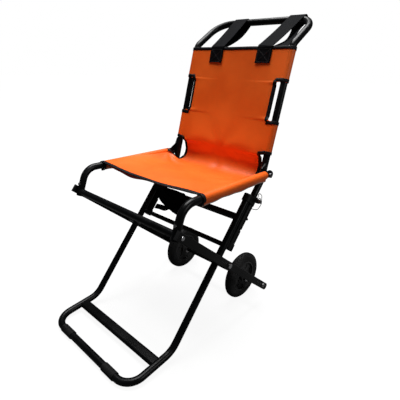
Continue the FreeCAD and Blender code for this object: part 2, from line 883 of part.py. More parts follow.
def rim(sign):
    """Moulded rim: band, hub, and a web with blind pockets that leave the spokes standing."""
    x = sign * wheel_half
    band_outer = wheel_od / 2 - tyre_section
    band_inner = band_outer - rim_lip
    half = rim_width / 2
    band = cross_rod(axle_point, x - half, x + half, 2 * band_outer, 2 * band_inner)
    hub = cross_rod(axle_point, x - hub_width / 2, x + hub_width / 2, hub_od)
    web = cross_rod(axle_point, x - web_thickness / 2, x + web_thickness / 2, 2 * band_inner + 1)
    hole_middle = (band_inner + hub_od / 2) / 2
    hole_od = band_inner - hub_od / 2 - 7
    pockets = []
    for spoke in range(spokes):
        turn = 360.0 * spoke / spokes
        ends = [walk(axle_point, turn + swing, hole_middle) for swing in (-8, 0, 8)]
        pockets += [cross_rod(end, x - half, x - pocket_floor / 2, hole_od) for end in ends]
        pockets += [cross_rod(end, x + pocket_floor / 2, x + half, hole_od) for end in ends]
    bore = cross_rod(axle_point, x - hub_width, x + hub_width, bush_od())
    return largest(fused([band, hub, web]).cut(fused(pockets)).cut(bore))


def bush_od():
    return axle_od + 2 * spin_clearance + 2 * bush_wall


def wheel_bush(sign):
    x = sign * wheel_half
    half = hub_width / 2
    return cross_rod(axle_point, x - half, x + half, bush_od(), axle_od + 2 * spin_clearance)


# ---- build --------------------------------------------------------------------------------

os.makedirs("parts", exist_ok=True)

save("leg_frame", leg_frame())
save("footrest_step", footrest_step())
save("upper_cross_bar", leg_bar(upper_bar_along, tube_od))
save("lower_cross_bar", leg_bar(lower_bar_along, thin_bar_od))
save("footrest_grips", both(footrest_grip))
save("socket_studs", both(socket_stud))
save("cross_spacers", both(cross_spacer))
save("cross_bolts", both(cross_bolt))
save("cross_nuts", both(cross_nut))
save("lock_springs", both(lock_spring))
save("restraint_strap", restraint_strap())
save("restraint_buckle", restraint_buckle())

save("back_frame", back_frame())
save("back_sling", back_sling())
save("seat_pivot_bolts", both(seat_pivot_bolt))
save("seat_pivot_washers", both(seat_pivot_washer))

save("seat_sling", seat_sling())
save("front_cross_tube", front_cross_tube())
save("front_tube_plugs", both(front_tube_plug))
save("front_pivot_pins", both(front_pivot_pin))
save("seat_rivets", both(seat_rivet))
save("seat_tube_caps", both(seat_tube_cap))

save("rail_front_caps", both(rail_front_cap))
save("rail_rear_caps", both(rail_rear_cap))
save("cross_washers", both(cross_washer))
save("front_pivot_caps", both(front_pivot_cap))
save("wheel_axle", wheel_axle())
save("axle_plugs", both(axle_plug))
save("axle_bolts", both(axle_bolt))
save("axle_collars", axle_collars())

for (name, sign), strap_middle in zip(sides, reversed(strap_middles)):
    save("leg_guide_" + name, leg_guide(sign))
    save("socket_tube_" + name, socket_tube(sign))
    save("socket_clamp_" + name, socket_clamp(sign))
    save("lock_housing_" + name, lock_housing(sign))
    save("lock_pin_" + name, lock_pin(sign))
    save("pull_ring_" + name, ring_torus(sign))
    save("lock_lanyard_" + name, lanyard(sign))
    save("gusset_" + name, gusset(sign))
    save("carry_strap_" + name, carry_strap(strap_middle))
    save("seat_tube_" + name, seat_tube(sign))
    save("rail_" + name, rail(sign))
    save("tyre_" + name, tyre(sign))
    save("rim_" + name, rim(sign))
    save("wheel_bush_" + name, wheel_bush(sign))
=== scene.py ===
import bmesh
import bpy
import json
import math
import numpy as np
from mathutils import Matrix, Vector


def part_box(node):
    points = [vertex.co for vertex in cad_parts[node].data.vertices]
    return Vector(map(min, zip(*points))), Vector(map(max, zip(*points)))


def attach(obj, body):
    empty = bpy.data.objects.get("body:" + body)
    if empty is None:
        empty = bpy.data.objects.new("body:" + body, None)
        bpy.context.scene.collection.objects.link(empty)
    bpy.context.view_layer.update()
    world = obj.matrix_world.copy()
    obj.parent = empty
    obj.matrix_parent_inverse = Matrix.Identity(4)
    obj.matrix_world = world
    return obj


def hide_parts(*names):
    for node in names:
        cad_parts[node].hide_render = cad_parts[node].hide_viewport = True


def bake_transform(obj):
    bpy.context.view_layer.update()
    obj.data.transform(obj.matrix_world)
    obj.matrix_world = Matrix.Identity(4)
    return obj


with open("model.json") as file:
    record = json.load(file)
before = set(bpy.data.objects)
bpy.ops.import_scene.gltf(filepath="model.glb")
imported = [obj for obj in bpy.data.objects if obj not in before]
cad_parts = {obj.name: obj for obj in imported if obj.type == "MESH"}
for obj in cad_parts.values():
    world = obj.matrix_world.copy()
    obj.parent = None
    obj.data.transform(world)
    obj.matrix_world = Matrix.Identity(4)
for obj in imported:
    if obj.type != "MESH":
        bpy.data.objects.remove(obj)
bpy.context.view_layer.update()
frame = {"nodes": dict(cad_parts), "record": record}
nodes = frame["nodes"]
joints = {joint["name"]: joint for joint in frame["record"]["behaviour"]["joints"]}


# ---- camera, floor and light ---------------------------------------------------------------
# A chair on a plain white floor, seen from in front of its left-hand side and a little above.
# The camera's turn is built from its heading, its downward pitch and a small roll.

heading = math.radians(42.58)
pitch = math.radians(22.3)
roll = math.radians(1.287)
ahead = np.array([-math.sin(heading) * math.cos(pitch), math.cos(heading) * math.cos(pitch),
                  -math.sin(pitch)])
level = np.array([math.cos(heading), math.sin(heading), 0.0])
upward = np.cross(level, ahead)
side_axis = level * math.cos(roll) + upward * math.sin(roll)
up_axis = upward * math.cos(roll) - level * math.sin(roll)

lens = bpy.data.cameras.new("camera")
lens.sensor_width = 36.0
lens.lens = 31.264
lens.shift_x = 0.01374
lens.shift_y = 0.01778
camera = bpy.data.objects.new("camera", lens)
turn = Matrix([list(row) for row in np.stack([side_axis, up_axis, -ahead], axis=1)]).to_4x4()
camera.matrix_world = Matrix.Translation((0.6935, -0.6999, 0.7321)) @ turn
bpy.context.scene.collection.objects.link(camera)
bpy.context.scene.camera = camera


def new_material(name):
    """An empty material with its Principled shader."""
    material = bpy.data.materials.new(name)
    material.use_nodes = True
    return material, material.node_tree, material.node_tree.nodes["Principled BSDF"]


def add(tree, kind, settings=None, **inputs):
    """A shader node with settings and named inputs; an input may be a value or another node's output."""
    node = tree.nodes.new(kind)
    for name, value in (settings or {}).items():
        setattr(node, name, value)
    for name, value in inputs.items():
        socket = node.inputs[int(name[1:])] if name[0] == "_" else node.inputs[name.replace("_", " ")]
        if isinstance(value, bpy.types.NodeSocket):
            tree.links.new(value, socket)
        else:
            socket.default_value = value
    return node


floor_half = 20.0
floor_mesh = bpy.data.meshes.new("floor")
floor_corners = [(-floor_half, -floor_half, 0), (floor_half, -floor_half, 0),
                 (floor_half, floor_half, 0), (-floor_half, floor_half, 0)]
floor_mesh.from_pydata(floor_corners, [], [(0, 1, 2, 3)])
floor = bpy.data.objects.new("floor", floor_mesh)
bpy.context.scene.collection.objects.link(floor)

floor_paint, tree, shader = new_material("floor_paint")
shader.inputs["Base Color"].default_value = (0.11, 0.11, 0.11, 1)
shader.inputs["Roughness"].default_value = 1.0
shader.inputs["Specular IOR Level"].default_value = 0.0
seen = add(tree, "ShaderNodeLightPath").outputs["Is Camera Ray"]
place = add(tree, "ShaderNodeTexCoord").outputs["Object"]
reach = add(tree, "ShaderNodeVectorMath", {"operation": "LENGTH"}, _0=place).outputs["Value"]
spread = add(tree, "ShaderNodeMapRange", Value=reach, From_Min=0.6, From_Max=3.0,
             To_Min=0.92, To_Max=1.0)
glow = add(tree, "ShaderNodeMath", {"operation": "MULTIPLY"}, _0=spread.outputs["Result"], _1=seen)
shader.inputs["Emission Color"].default_value = (1, 1, 1, 1)
tree.links.new(glow.outputs["Value"], shader.inputs["Emission Strength"])
floor_mesh.materials.append(floor_paint)

world = bpy.data.worlds.new("studio")
world.use_nodes = True
bpy.context.scene.world = world
sky = world.node_tree.nodes["Background"]
sky.inputs["Color"].default_value = (1, 1, 1, 1)
rays = add(world.node_tree, "ShaderNodeLightPath")
shows = add(world.node_tree, "ShaderNodeMath", {"operation": "MAXIMUM"},
            _0=rays.outputs["Is Camera Ray"], _1=rays.outputs["Is Transmission Ray"])
ambient = 0.055
strength = add(world.node_tree, "ShaderNodeMapRange", Value=shows.outputs["Value"],
               To_Min=ambient, To_Max=1.0)
world.node_tree.links.new(strength.outputs["Result"], sky.inputs["Strength"])


def soft_box(name, place, target, size, power):
    """A square area lamp aimed at a point."""
    lamp = bpy.data.lights.new(name, "AREA")
    lamp.size = size
    lamp.energy = power
    holder = bpy.data.objects.new(name, lamp)
    away = np.array(place) - np.array(target)
    away = away / np.linalg.norm(away)
    across = np.cross([0.0, 1.0, 0.0], away)
    across = across / np.linalg.norm(across)
    turn = np.stack([across, np.cross(away, across), away], axis=1)
    holder.matrix_world = Matrix.Translation(place) @ Matrix([list(row) for row in turn]).to_4x4()
    bpy.context.scene.collection.objects.link(holder)


soft_box("top_light", (-0.3, 0.38, 2.7), (0.0, 0.0, 0.45), 1.6, 114.0)
soft_box("side_light", (2.5, 0.35, 1.5), (0.0, 0.0, 0.45), 1.0, 15.0)

bpy.context.scene.view_settings.view_transform = "Standard"


# ---- black painted frame -------------------------------------------------------------------
# Legs, back frame, seat tubes, rails, bars and axle are steel tube, welded and powder coated
# semi-gloss black. The coat has a faint orange peel and goes a little paler and duller in patches.

def new_group(name, inputs, outputs):
    """A shader node group with named sockets; inputs are (name, type, default)."""
    group = bpy.data.node_groups.new(name, "ShaderNodeTree")
    for title, kind, default in inputs:
        socket = group.interface.new_socket(title, in_out="INPUT", socket_type=kind)
        if default is not None:
            socket.default_value = default
    for title, kind in outputs:
        group.interface.new_socket(title, in_out="OUTPUT", socket_type=kind)
    return group, group.nodes.new("NodeGroupInput"), group.nodes.new("NodeGroupOutput")


patina, source, result = new_group(
    "patina",
    [("Fine Scale", "NodeSocketFloat", 900.0), ("Patch Scale", "NodeSocketFloat", 14.0),
     ("Low", "NodeSocketFloat", 0.3), ("High", "NodeSocketFloat", 0.5),
     ("Clean", "NodeSocketColor", (0.02, 0.02, 0.02, 1)),
     ("Worn", "NodeSocketColor", (0.05, 0.05, 0.05, 1))],
    [("Color", "NodeSocketColor"), ("Roughness", "NodeSocketFloat"), ("Height", "NodeSocketFloat")])
where = add(patina, "ShaderNodeTexCoord").outputs["Object"]
fine = add(patina, "ShaderNodeTexNoise", Vector=where, Scale=source.outputs["Fine Scale"], Detail=2.0)
patch = add(patina, "ShaderNodeTexNoise", Vector=where, Scale=source.outputs["Patch Scale"], Detail=6.0)
blotch = add(patina, "ShaderNodeMapRange", Value=patch.outputs["Fac"], From_Min=0.42, From_Max=0.68)
tone = add(patina, "ShaderNodeMix", {"data_type": "RGBA"}, _0=blotch.outputs["Result"],
           _6=source.outputs["Clean"], _7=source.outputs["Worn"])
rough = add(patina, "ShaderNodeMapRange", Value=patch.outputs["Fac"], From_Min=0.3, From_Max=0.7,
            To_Min=source.outputs["Low"], To_Max=source.outputs["High"])
patina.links.new(tone.outputs[2], result.inputs["Color"])
patina.links.new(rough.outputs["Result"], result.inputs["Roughness"])
patina.links.new(fine.outputs["Fac"], result.inputs["Height"])


def coated(name, clean, worn, low, high, fine_scale, bump, metallic=0.0, patch_scale=14.0,
           gloss=0.16, depth=0.0004):
    """A hard finish from the patina group: colour and roughness in patches, fine bump."""
    material, tree, shader = new_material(name)
    group = add(tree, "ShaderNodeGroup", {"node_tree": patina}, Fine_Scale=fine_scale,
                Patch_Scale=patch_scale, Low=low, High=high, Clean=(*clean, 1), Worn=(*worn, 1))
    relief = add(tree, "ShaderNodeBump", Strength=bump, Distance=depth, Height=group.outputs["Height"])
    tree.links.new(group.outputs["Color"], shader.inputs["Base Color"])
    tree.links.new(group.outputs["Roughness"], shader.inputs["Roughness"])
    tree.links.new(relief.outputs["Normal"], shader.inputs["Normal"])
    shader.inputs["Metallic"].default_value = metallic
    shader.inputs["Specular IOR Level"].default_value = 0.5 if metallic else gloss
    return material


def paint(material, *names):
    """Give CAD pieces a material."""
    for name in names:
        mesh = nodes[name].data
        mesh.materials.clear()
        mesh.materials.append(material)


frame_black = coated("frame_black", (0.0016, 0.0018, 0.0021), (0.0045, 0.0048, 0.0054),
                     0.26, 0.38, 700.0, 0.12, gloss=0.15)
paint(frame_black, "leg_frame", "footrest_step", "upper_cross_bar", "lower_cross_bar", "back_frame",
      "gusset_left", "gusset_right", "seat_tube_left", "seat_tube_right", "front_cross_tube",
      "wheel_axle")
rail_black = coated("rail_black", (0.006, 0.0062, 0.0064), (0.012, 0.0123, 0.0126),
                    0.34, 0.48, 500.0, 0.15, gloss=0.15)
paint(rail_black, "rail_left", "rail_right")


# ---- sockets and guide blocks --------------------------------------------------------------
# Sleeves behind the leg tops, their clamps and the blocks that guide the back tube. They are
# moulded or machined black pieces with a duller, slightly coarser skin than the tube.

socket_black = coated("socket_black", (0.003, 0.003, 0.0032), (0.010, 0.010, 0.0105),
                      0.42, 0.58, 400.0, 0.25)
paint(socket_black, "socket_tube_left", "socket_tube_right", "socket_clamp_left", "socket_clamp_right",
      "leg_guide_left", "leg_guide_right")
cap_black = coated("cap_black", (0.004, 0.004, 0.0045), (0.011, 0.011, 0.011), 0.4, 0.55, 350.0, 0.2)
paint(cap_black, "seat_tube_caps", "rail_front_caps", "rail_rear_caps", "axle_plugs")


# ---- bolts, pins, rings and wire -----------------------------------------------------------
# Zinc plated bolts, rivets, collars and the pull pins with their rings and wire lanyards.

bright_steel = coated("bright_steel", (0.62, 0.62, 0.63), (0.42, 0.42, 0.43),
                      0.18, 0.36, 1500.0, 0.08, 1.0, 60.0)
paint(bright_steel, "cross_bolts", "cross_washers", "front_pivot_pins", "front_tube_plugs",
      "seat_rivets", "axle_bolts", "axle_collars", "lock_springs", "front_pivot_caps")
pin_steel = coated("pin_steel", (0.40, 0.40, 0.41), (0.22, 0.22, 0.23),
                   0.25, 0.42, 1500.0, 0.1, 1.0, 80.0)
paint(pin_steel, "lock_pin_left", "lock_pin_right")
dark_steel = coated("dark_steel", (0.10, 0.10, 0.11), (0.18, 0.18, 0.18),
                    0.3, 0.5, 1200.0, 0.1, 1.0, 60.0)
paint(dark_steel, "cross_nuts", "cross_spacers", "seat_pivot_bolts", "seat_pivot_washers",
      "socket_studs", "lock_housing_left", "lock_housing_right")
sleeved_wire = coated("sleeved_wire", (0.008, 0.008, 0.009), (0.02, 0.02, 0.02), 0.35, 0.5, 1200.0, 0.1)
paint(sleeved_wire, "lock_lanyard_left", "lock_lanyard_right", "pull_ring_left", "pull_ring_right")


# ---- wheels --------------------------------------------------------------------------------
# Each wheel is a solid rubber tyre with four grooves round its tread, on a moulded rim with blind
# pockets and a plain bush. The tyre is a closed profile turned about the axle.

def surface(name, points, closed_rows=False, closed_columns=False, layout=None, smooth=True):
    """Mesh from a grid of points (rows, columns, 3), joined into quads and wrapped where closed.
    Its texture layout is in metres, from the layout given or from distances along the grid."""
    rows, columns = points.shape[:2]
    index = np.arange(rows * columns).reshape(rows, columns)
    if closed_rows:
        index = np.vstack([index, index[:1]])
    if closed_columns:
        index = np.hstack([index, index[:, :1]])
    faces = np.stack([index[:-1, :-1], index[:-1, 1:], index[1:, 1:], index[1:, :-1]], axis=-1)
    faces = faces.reshape(-1, 4)
    if layout is None:
        steps = np.diff(points, axis=0, prepend=points[:1])
        along = np.cumsum(np.linalg.norm(steps, axis=2), axis=0)
        steps = np.diff(points, axis=1, prepend=points[:, :1])
        across = np.cumsum(np.linalg.norm(steps, axis=2), axis=1)
        layout = np.stack([across, along], axis=-1)
    mesh = bpy.data.meshes.new(name)
    if closed_rows and closed_columns:
        faces = faces[:, ::-1]
    mesh.from_pydata(points.reshape(-1, 3).tolist(), [], faces.tolist())
    corner = np.zeros(len(mesh.loops), dtype=np.int32)
    mesh.loops.foreach_get("vertex_index", corner)
    texture = mesh.uv_layers.new(name="UVMap")
    texture.data.foreach_set("uv", layout.reshape(-1, 2)[corner].astype(np.float32).ravel())
    if smooth:
        mesh.polygons.foreach_set("use_smooth", np.ones(len(mesh.polygons), dtype=bool))
    piece = bpy.data.objects.new(name, mesh)
    bpy.context.scene.collection.objects.link(piece)
    return piece


def tyre_profile(outer, inner, half, depth, count=61):
    """Closed (radius, across) loop: a flat bead, bulged walls and a crowned tread with four grooves."""
    across = np.linspace(-1, 1, count)
    shoulder = 0.0105
    crown = outer - shoulder * np.abs(across) ** 3.2
    groove = sum(np.exp(-((across - middle) / 0.035) ** 4) for middle in (-0.62, -0.22, 0.22, 0.62))
    tread = np.stack([crown - depth * groove, across * half], axis=1)
    wall = np.linspace(0, 1, 9)[1:-1]
    bulge = half * (1 - 0.17 * wall ** 2) + 0.0008 * np.sin(np.pi * wall)
    drop = outer - shoulder - (outer - shoulder - inner) * wall
    right = np.stack([drop, bulge], axis=1)
    left = np.stack([drop, -bulge], axis=1)[::-1]
    bead = np.array([[inner, half * 0.8], [inner, -half * 0.8]])
    return np.vstack([tread, right, bead, left])


def turned(name, profile, centre, count):
    """Closed ring: a loop of (across, radius) turned about a level axis through a centre."""
    turns = np.linspace(0, 2 * np.pi, count + 1)[:-1]
    ring = np.stack([np.broadcast_to(profile[None, :, 0], (count, len(profile))),
                     profile[None, :, 1] * np.cos(turns)[:, None],
                     profile[None, :, 1] * np.sin(turns)[:, None]], axis=-1) + centre
    return surface(name, ring, closed_rows=True, closed_columns=True)


tread_rubber = coated("tread_rubber", (0.009, 0.009, 0.0093), (0.026, 0.026, 0.026),
                      0.5, 0.72, 260.0, 0.3, patch_scale=22.0, gloss=0.25, depth=0.0006)
rim_plastic = coated("rim_plastic", (0.032, 0.032, 0.033), (0.07, 0.07, 0.07), 0.35, 0.5, 500.0, 0.15)
bush_plastic = coated("bush_plastic", (0.45, 0.45, 0.44), (0.3, 0.3, 0.3), 0.35, 0.5, 500.0, 0.1)
tyre_height = 0.0268
groove_depth = 0.0016

for side in ("left", "right"):
    low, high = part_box("tyre_" + side)
    centre = np.array([(low.x + high.x) / 2, (low.y + high.y) / 2, (low.z + high.z) / 2])
    outer = (high.z - low.z) / 2
    loop = tyre_profile(outer, outer - tyre_height, (high.x - low.x) / 2, groove_depth)
    tyre = turned("tyre_tread_" + side, loop[:, ::-1], centre, 120)
    tyre.data.materials.append(tread_rubber)
    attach(tyre, "wheel_" + side)
    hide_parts("tyre_" + side)
    paint(rim_plastic, "rim_" + side)
    paint(bush_plastic, "wheel_bush_" + side)


# ---- footrest grips ------------------------------------------------------------------------
# Two rubber sleeves on the front bar, ribbed round by shallow slits so that the bar doesn't slip
# on a step. Each is a turned profile with rounded ends.

grip_rubber = coated("grip_rubber", (0.003, 0.003, 0.0035), (0.009, 0.009, 0.009),
                     0.55, 0.75, 300.0, 0.3)
low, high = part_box("footrest_grips")
grip_centre = (0.0, (low.y + high.y) / 2, (low.z + high.z) / 2)
grip_radius = (high.z - low.z) / 2
grip_bore = grip_radius - 0.002
grip_length = 0.048
grip_round = 0.0012
slit_depth = 0.0008
for side, start in (("left", high.x - grip_length), ("right", low.x)):
    run = np.linspace(0, 1, 97)
    ends = np.minimum(run, 1 - run) * grip_length
    rounded = np.clip(ends / 0.0015, 0, 1)
    slit = np.exp(-(((run * 6) % 1 - 0.5) / 0.09) ** 4) * (ends > 0.004)
    radius = grip_radius - grip_round * (1 - np.sqrt(1 - (1 - rounded) ** 2)) - slit_depth * slit
    x = start + run * grip_length
    profile = np.vstack([np.stack([x, radius], axis=1), [[x[-1], grip_bore], [x[0], grip_bore]]])
    grip = turned("grip_sleeve_" + side, profile, grip_centre, 48)
    grip.data.materials.append(grip_rubber)
    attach(grip, "legs")
    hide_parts("footrest_grips")


# ---- sling ---------------------------------------------------------------------------------
# One sheet of PVC-coated orange cloth makes the seat and the back. It runs from the front of the
# seat to the rear, turns up behind the tubes and climbs the back, and sags a little between them.
# Its width follows the tubes, narrow at the cut-outs by the hinge and at the hand windows.

tube_radius = 0.010
cloth = 0.0014
cloth_out = tube_radius + 0.0002 + cloth / 2
cloth_face = cloth_out + cloth / 2
back_angle = math.radians(75.3)
seat_pivot = np.array(joints["seat_hinge"]["pos_m"])[1:]
up_back = np.array([math.cos(back_angle), math.sin(back_angle)])
before_back = np.array([-math.sin(back_angle), math.cos(back_angle)])
back_start = seat_pivot - 0.0215 * up_back - 0.014 * before_back
leg_half = 0.177
seat_half = 0.1995
seat_front = 0.284
panel_top = 0.3725
window_low, window_high = 0.170, 0.278
cut_high = 0.076
window_half = 0.157
throat_half = 0.157


def on_back(up, before=0.0):
    """Side-view point at a height up the back tube and a distance before its middle."""
    return back_start + np.multiply.outer(up, up_back) + np.multiply.outer(before, before_back)


def ramp(value, low, high):
    """Smooth step from 0 at low to 1 at high."""
    t = np.clip((value - low) / (high - low), 0, 1)
    return t * t * (3 - 2 * t)


def sling_path():
    """Side-view run along the tops of the tubes: a heading that turns from level up to the back's
    lean, added up step by step, with the seat's length set so that it meets the back."""
    step = 0.002
    length = 0.76
    along = np.arange(0, length, step)
    bend_start = seat_front + 0.002
    bend = ramp(along, bend_start, bend_start + 0.024)
    turn = back_angle * bend
    moves = np.stack([np.cos(turn), np.sin(turn)], axis=1) * step
    points = np.vstack([[0, 0], np.cumsum(moves, axis=0)[:-1]])
    points += [seat_pivot[0] - seat_front, seat_pivot[1] + cloth_out]
    off = (points[-1] - on_back(0.0, cloth_out)) @ before_back
    stretch = off / before_back[0]
    shift = np.where(along > bend_start, 1.0, along / bend_start) * -stretch
    points[:, 0] += shift
    up = (points - back_start) @ up_back
    keep = up <= panel_top
    return points[keep], turn[keep], up[keep]


path, turning, up = sling_path()
deck = turning < back_angle / 2
seat_y = path[:, 0]
rear_edge = seat_pivot[0] - 0.012
corner = 0.004
on_seat = ramp(seat_y, rear_edge - 0.014, rear_edge + 0.020)
half = seat_half + (throat_half - seat_half) * on_seat
climb = np.where(deck, 0.0, up)
widened = throat_half + (leg_half - throat_half) * ramp(climb, cut_high - corner, cut_high)
half = np.where(deck, half, widened)
inside = np.clip(np.minimum(climb - window_low, window_high - climb) / 0.008, 0, 1)
window = np.where(inside > 0, 0.6 + 0.4 * np.sqrt(1 - (1 - inside) ** 2), 0.0)
half = half - (leg_half - window_half) * window

columns = 121
across = np.linspace(-1, 1, columns)
x = half[:, None] * across[None, :]
run = np.arange(len(path)) * 0.002
front_sag, rear_sag = 0.0095, 0.0285
top_sag, foot_sag, belly = 0.004, 0.028, 0.005
seat_sag = front_sag + rear_sag * ramp(run, 0.06, 0.27)
back_sag = (top_sag + foot_sag * (1 - ramp(climb, 0.020, 0.092))
            + belly * np.sin(np.pi * np.clip(climb / panel_top, 0, 1)))
sag = np.where(deck, seat_sag, back_sag)
smoother = np.hanning(19)
sag = np.convolve(np.pad(sag, 9, mode="edge"), smoother / smoother.sum(), mode="valid")
below_cut = np.where(deck, 1, 1 - ramp(climb, cut_high - 0.012, cut_high))
loose = ramp(seat_y, rear_edge - 0.006, rear_edge + 0.012) * below_cut
slackened = ramp(climb, window_low, window_low + 0.012) - ramp(climb, window_high - 0.012, window_high)
trough = np.where(deck, 2.2 + 3.0 * ramp(run, 0.03, 0.22), 2.2)[:, None]
pulled = 1 - (1 - loose)[:, None] * np.abs(across)[None, :] ** trough
pulled += 0.8 * slackened[:, None] * np.abs(across)[None, :] ** 12
drop = sag[:, None] * pulled
run = run[:, None]


def corner_folds(corner_x, corner_run, count, reach, height, start):
    """Soft folds that fan out from a corner where the cloth is pulled."""
    away_x = corner_x - x
    away_run = run - corner_run
    distance = np.hypot(away_x, away_run)
    fan = np.sin(count * np.arctan2(away_run, np.abs(away_x)) + start)
    return height * fan * np.exp(-(distance / reach) ** 2) * (1 - np.exp(-(distance / 0.03) ** 2))


crease = (0.0006 * np.sin(31 * x + 19 * run + 0.6) * np.sin(14 * run - 8 * x)
          + 0.0004 * np.sin(47 * run + 22 * x + 1.9) * np.cos(19 * x))
fold_places = [(0.20, 0.0, 9.0, 0.11, 0.0022, 0.4), (0.19, 0.26, 7.0, 0.10, 0.0020, 1.2),
               (-0.19, 0.27, 8.0, 0.10, 0.0026, 2.0), (-0.20, 0.0, 6.0, 0.09, 0.0012, 0.9),
               (0.0, 0.33, 5.0, 0.13, 0.0012, 0.2)]
for fold_place in fold_places:
    crease += corner_folds(*fold_place)
crease += (0.0012 * np.exp(-((x - 0.03 - 0.10 * (run - 0.5)) / 0.025) ** 2)
           * np.exp(-((run - 0.56) / 0.10) ** 2))
crease -= (0.0010 * np.exp(-((x + 0.06 + 0.20 * (run - 0.5)) / 0.03) ** 2)
           * np.exp(-((run - 0.48) / 0.09) ** 2))
crease *= 1 - np.abs(across)[None, :] ** 4
normal_y = -np.sin(turning)[:, None]
normal_z = np.cos(turning)[:, None]
sheet_points = np.stack([x, path[:, None, 0] - normal_y * (drop - crease),
                         path[:, None, 1] - normal_z * (drop - crease)], axis=-1)
layout = np.stack([x, np.broadcast_to(run, x.shape)], axis=-1)

weave, source, result = new_group(
    "weave",
    [("Layout", "NodeSocketVector", None), ("Threads", "NodeSocketFloat", 1200.0)],
    [("Height", "NodeSocketFloat"), ("Over", "NodeSocketFloat")])
scaled = add(weave, "ShaderNodeVectorMath", {"operation": "SCALE"}, _0=source.outputs["Layout"],
             Scale=source.outputs["Threads"])
parts = add(weave, "ShaderNodeSeparateXYZ", Vector=scaled.outputs["Vector"])
waves = []
for axis in ("X", "Y"):
    turned = add(weave, "ShaderNodeMath", {"operation": "MULTIPLY"}, _0=parts.outputs[axis], _1=math.pi)
    wave = add(weave, "ShaderNodeMath", {"operation": "SINE"}, _0=turned.outputs["Value"])
    waves.append(wave.outputs["Value"])
crossed = add(weave, "ShaderNodeMath", {"operation": "MULTIPLY"}, _0=waves[0], _1=waves[1])
over = add(weave, "ShaderNodeMapRange", Value=crossed.outputs["Value"], From_Min=-0.4, From_Max=0.4)
weave.links.new(crossed.outputs["Value"], result.inputs["Height"])
weave.links.new(over.outputs["Result"], result.inputs["Over"])


def woven(name, dark, light, threads, rough, bump, sheen=0.0, blotch=9.0, gloss=0.15):
    """Cloth or webbing: thread relief from the weave group, colour in soft patches."""
    material, tree, shader = new_material(name)
    uv = add(tree, "ShaderNodeUVMap", {"uv_map": "UVMap"})
    group = add(tree, "ShaderNodeGroup", {"node_tree": weave}, Layout=uv.outputs["UV"], Threads=threads)
    where = add(tree, "ShaderNodeTexCoord").outputs["Object"]
    patch = add(tree, "ShaderNodeTexNoise", Vector=where, Scale=blotch, Detail=4.0)
    fade = add(tree, "ShaderNodeMapRange", Value=patch.outputs["Fac"], From_Min=0.35, From_Max=0.7)
    mixed = add(tree, "ShaderNodeMath", {"operation": "MULTIPLY_ADD"}, _0=group.outputs["Over"], _1=0.25,
                _2=fade.outputs["Result"])
    tone = add(tree, "ShaderNodeMix", {"data_type": "RGBA"}, _0=mixed.outputs["Value"],
               _6=(*dark, 1), _7=(*light, 1))
    relief = add(tree, "ShaderNodeBump", Strength=bump, Distance=0.0003, Height=group.outputs["Height"])
    spread = add(tree, "ShaderNodeMapRange", Value=patch.outputs["Fac"],
                 To_Min=rough - 0.07, To_Max=rough + 0.07)
    tree.links.new(tone.outputs[2], shader.inputs["Base Color"])
    tree.links.new(spread.outputs["Result"], shader.inputs["Roughness"])
    tree.links.new(relief.outputs["Normal"], shader.inputs["Normal"])
    shader.inputs["Sheen Weight"].default_value = sheen
    shader.inputs["Specular IOR Level"].default_value = gloss
    return material


orange_cloth = woven("orange_cloth", (0.74, 0.102, 0.006), (0.84, 0.134, 0.010),
                     1100.0, 0.44, 0.10, gloss=0.3)
lining_cloth = woven("lining_cloth", (0.55, 0.024, 0.018), (0.68, 0.045, 0.028), 900.0, 0.6, 0.15)
# The greyish pink below is painted shade: the dim, greyed tone of the cloth's underside where it turns
# away from the light.
hem_cloth = woven("hem_cloth", (0.34, 0.22, 0.18), (0.46, 0.32, 0.27), 900.0, 0.6, 0.15)


def finish(piece, material, body):
    """Give a piece its material and body; with body "hinge" it goes on no body and its placing is baked
    into its mesh.
    """
    piece.data.materials.append(material)
    if body == "hinge":
        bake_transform(piece)
    else:
        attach(piece, body)
    return piece


def thicken(piece, thickness):
    """Give a sheet its thickness, half to each side."""
    wall = piece.modifiers.new("wall", "SOLIDIFY")
    wall.thickness = thickness
    wall.offset = 0.0
    bpy.context.view_layer.objects.active = piece
    piece.select_set(True)
    bpy.ops.object.modifier_apply(modifier="wall")
    piece.select_set(False)


sling = surface("sling_sheet", sheet_points, layout=layout)
thicken(sling, cloth)
finish(sling, orange_cloth, "hinge")
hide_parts("back_sling", "seat_sling")


# ---- sling sleeves -------------------------------------------------------------------------
# The cloth is folded round each tube and sewn to itself. On the seat tubes the fold hangs below
# the tube as a flat hem. On the back tubes there are two plain sleeves each side, with bare tube
# between them at the windows.

def swept(name, line, side, profile, roundness=True):
    """Closed solid: a loop of (side, normal) offsets carried along a line, with flat ends.
    The normal at each point is the line's heading crossed with the side direction."""
    line = np.asarray(line, float)
    side = np.broadcast_to(np.asarray(side, float), line.shape)
    heading = np.gradient(line, axis=0)
    heading /= np.linalg.norm(heading, axis=1, keepdims=True)
    side = side - heading * np.sum(side * heading, axis=1, keepdims=True)
    side = side / np.linalg.norm(side, axis=1, keepdims=True)
    normal = np.cross(heading, side)
    profile = np.asarray(profile, float)
    if profile.ndim == 2:
        profile = np.broadcast_to(profile, (len(line), *profile.shape))
    points = (line[:, None] + side[:, None] * profile[..., 0, None]
              + normal[:, None] * profile[..., 1, None])
    piece = surface(name, points, closed_columns=True, smooth=roundness)
    mesh = piece.data
    count = profile.shape[1]
    work = bmesh.new()
    work.from_mesh(mesh)
    work.verts.ensure_lookup_table()
    work.faces.new([work.verts[i] for i in range(count)][::-1])
    work.faces.new([work.verts[i] for i in range(count * (len(line) - 1), count * len(line))])
    bmesh.ops.recalc_face_normals(work, faces=work.faces)
    work.to_mesh(mesh)
    work.free()
    return piece


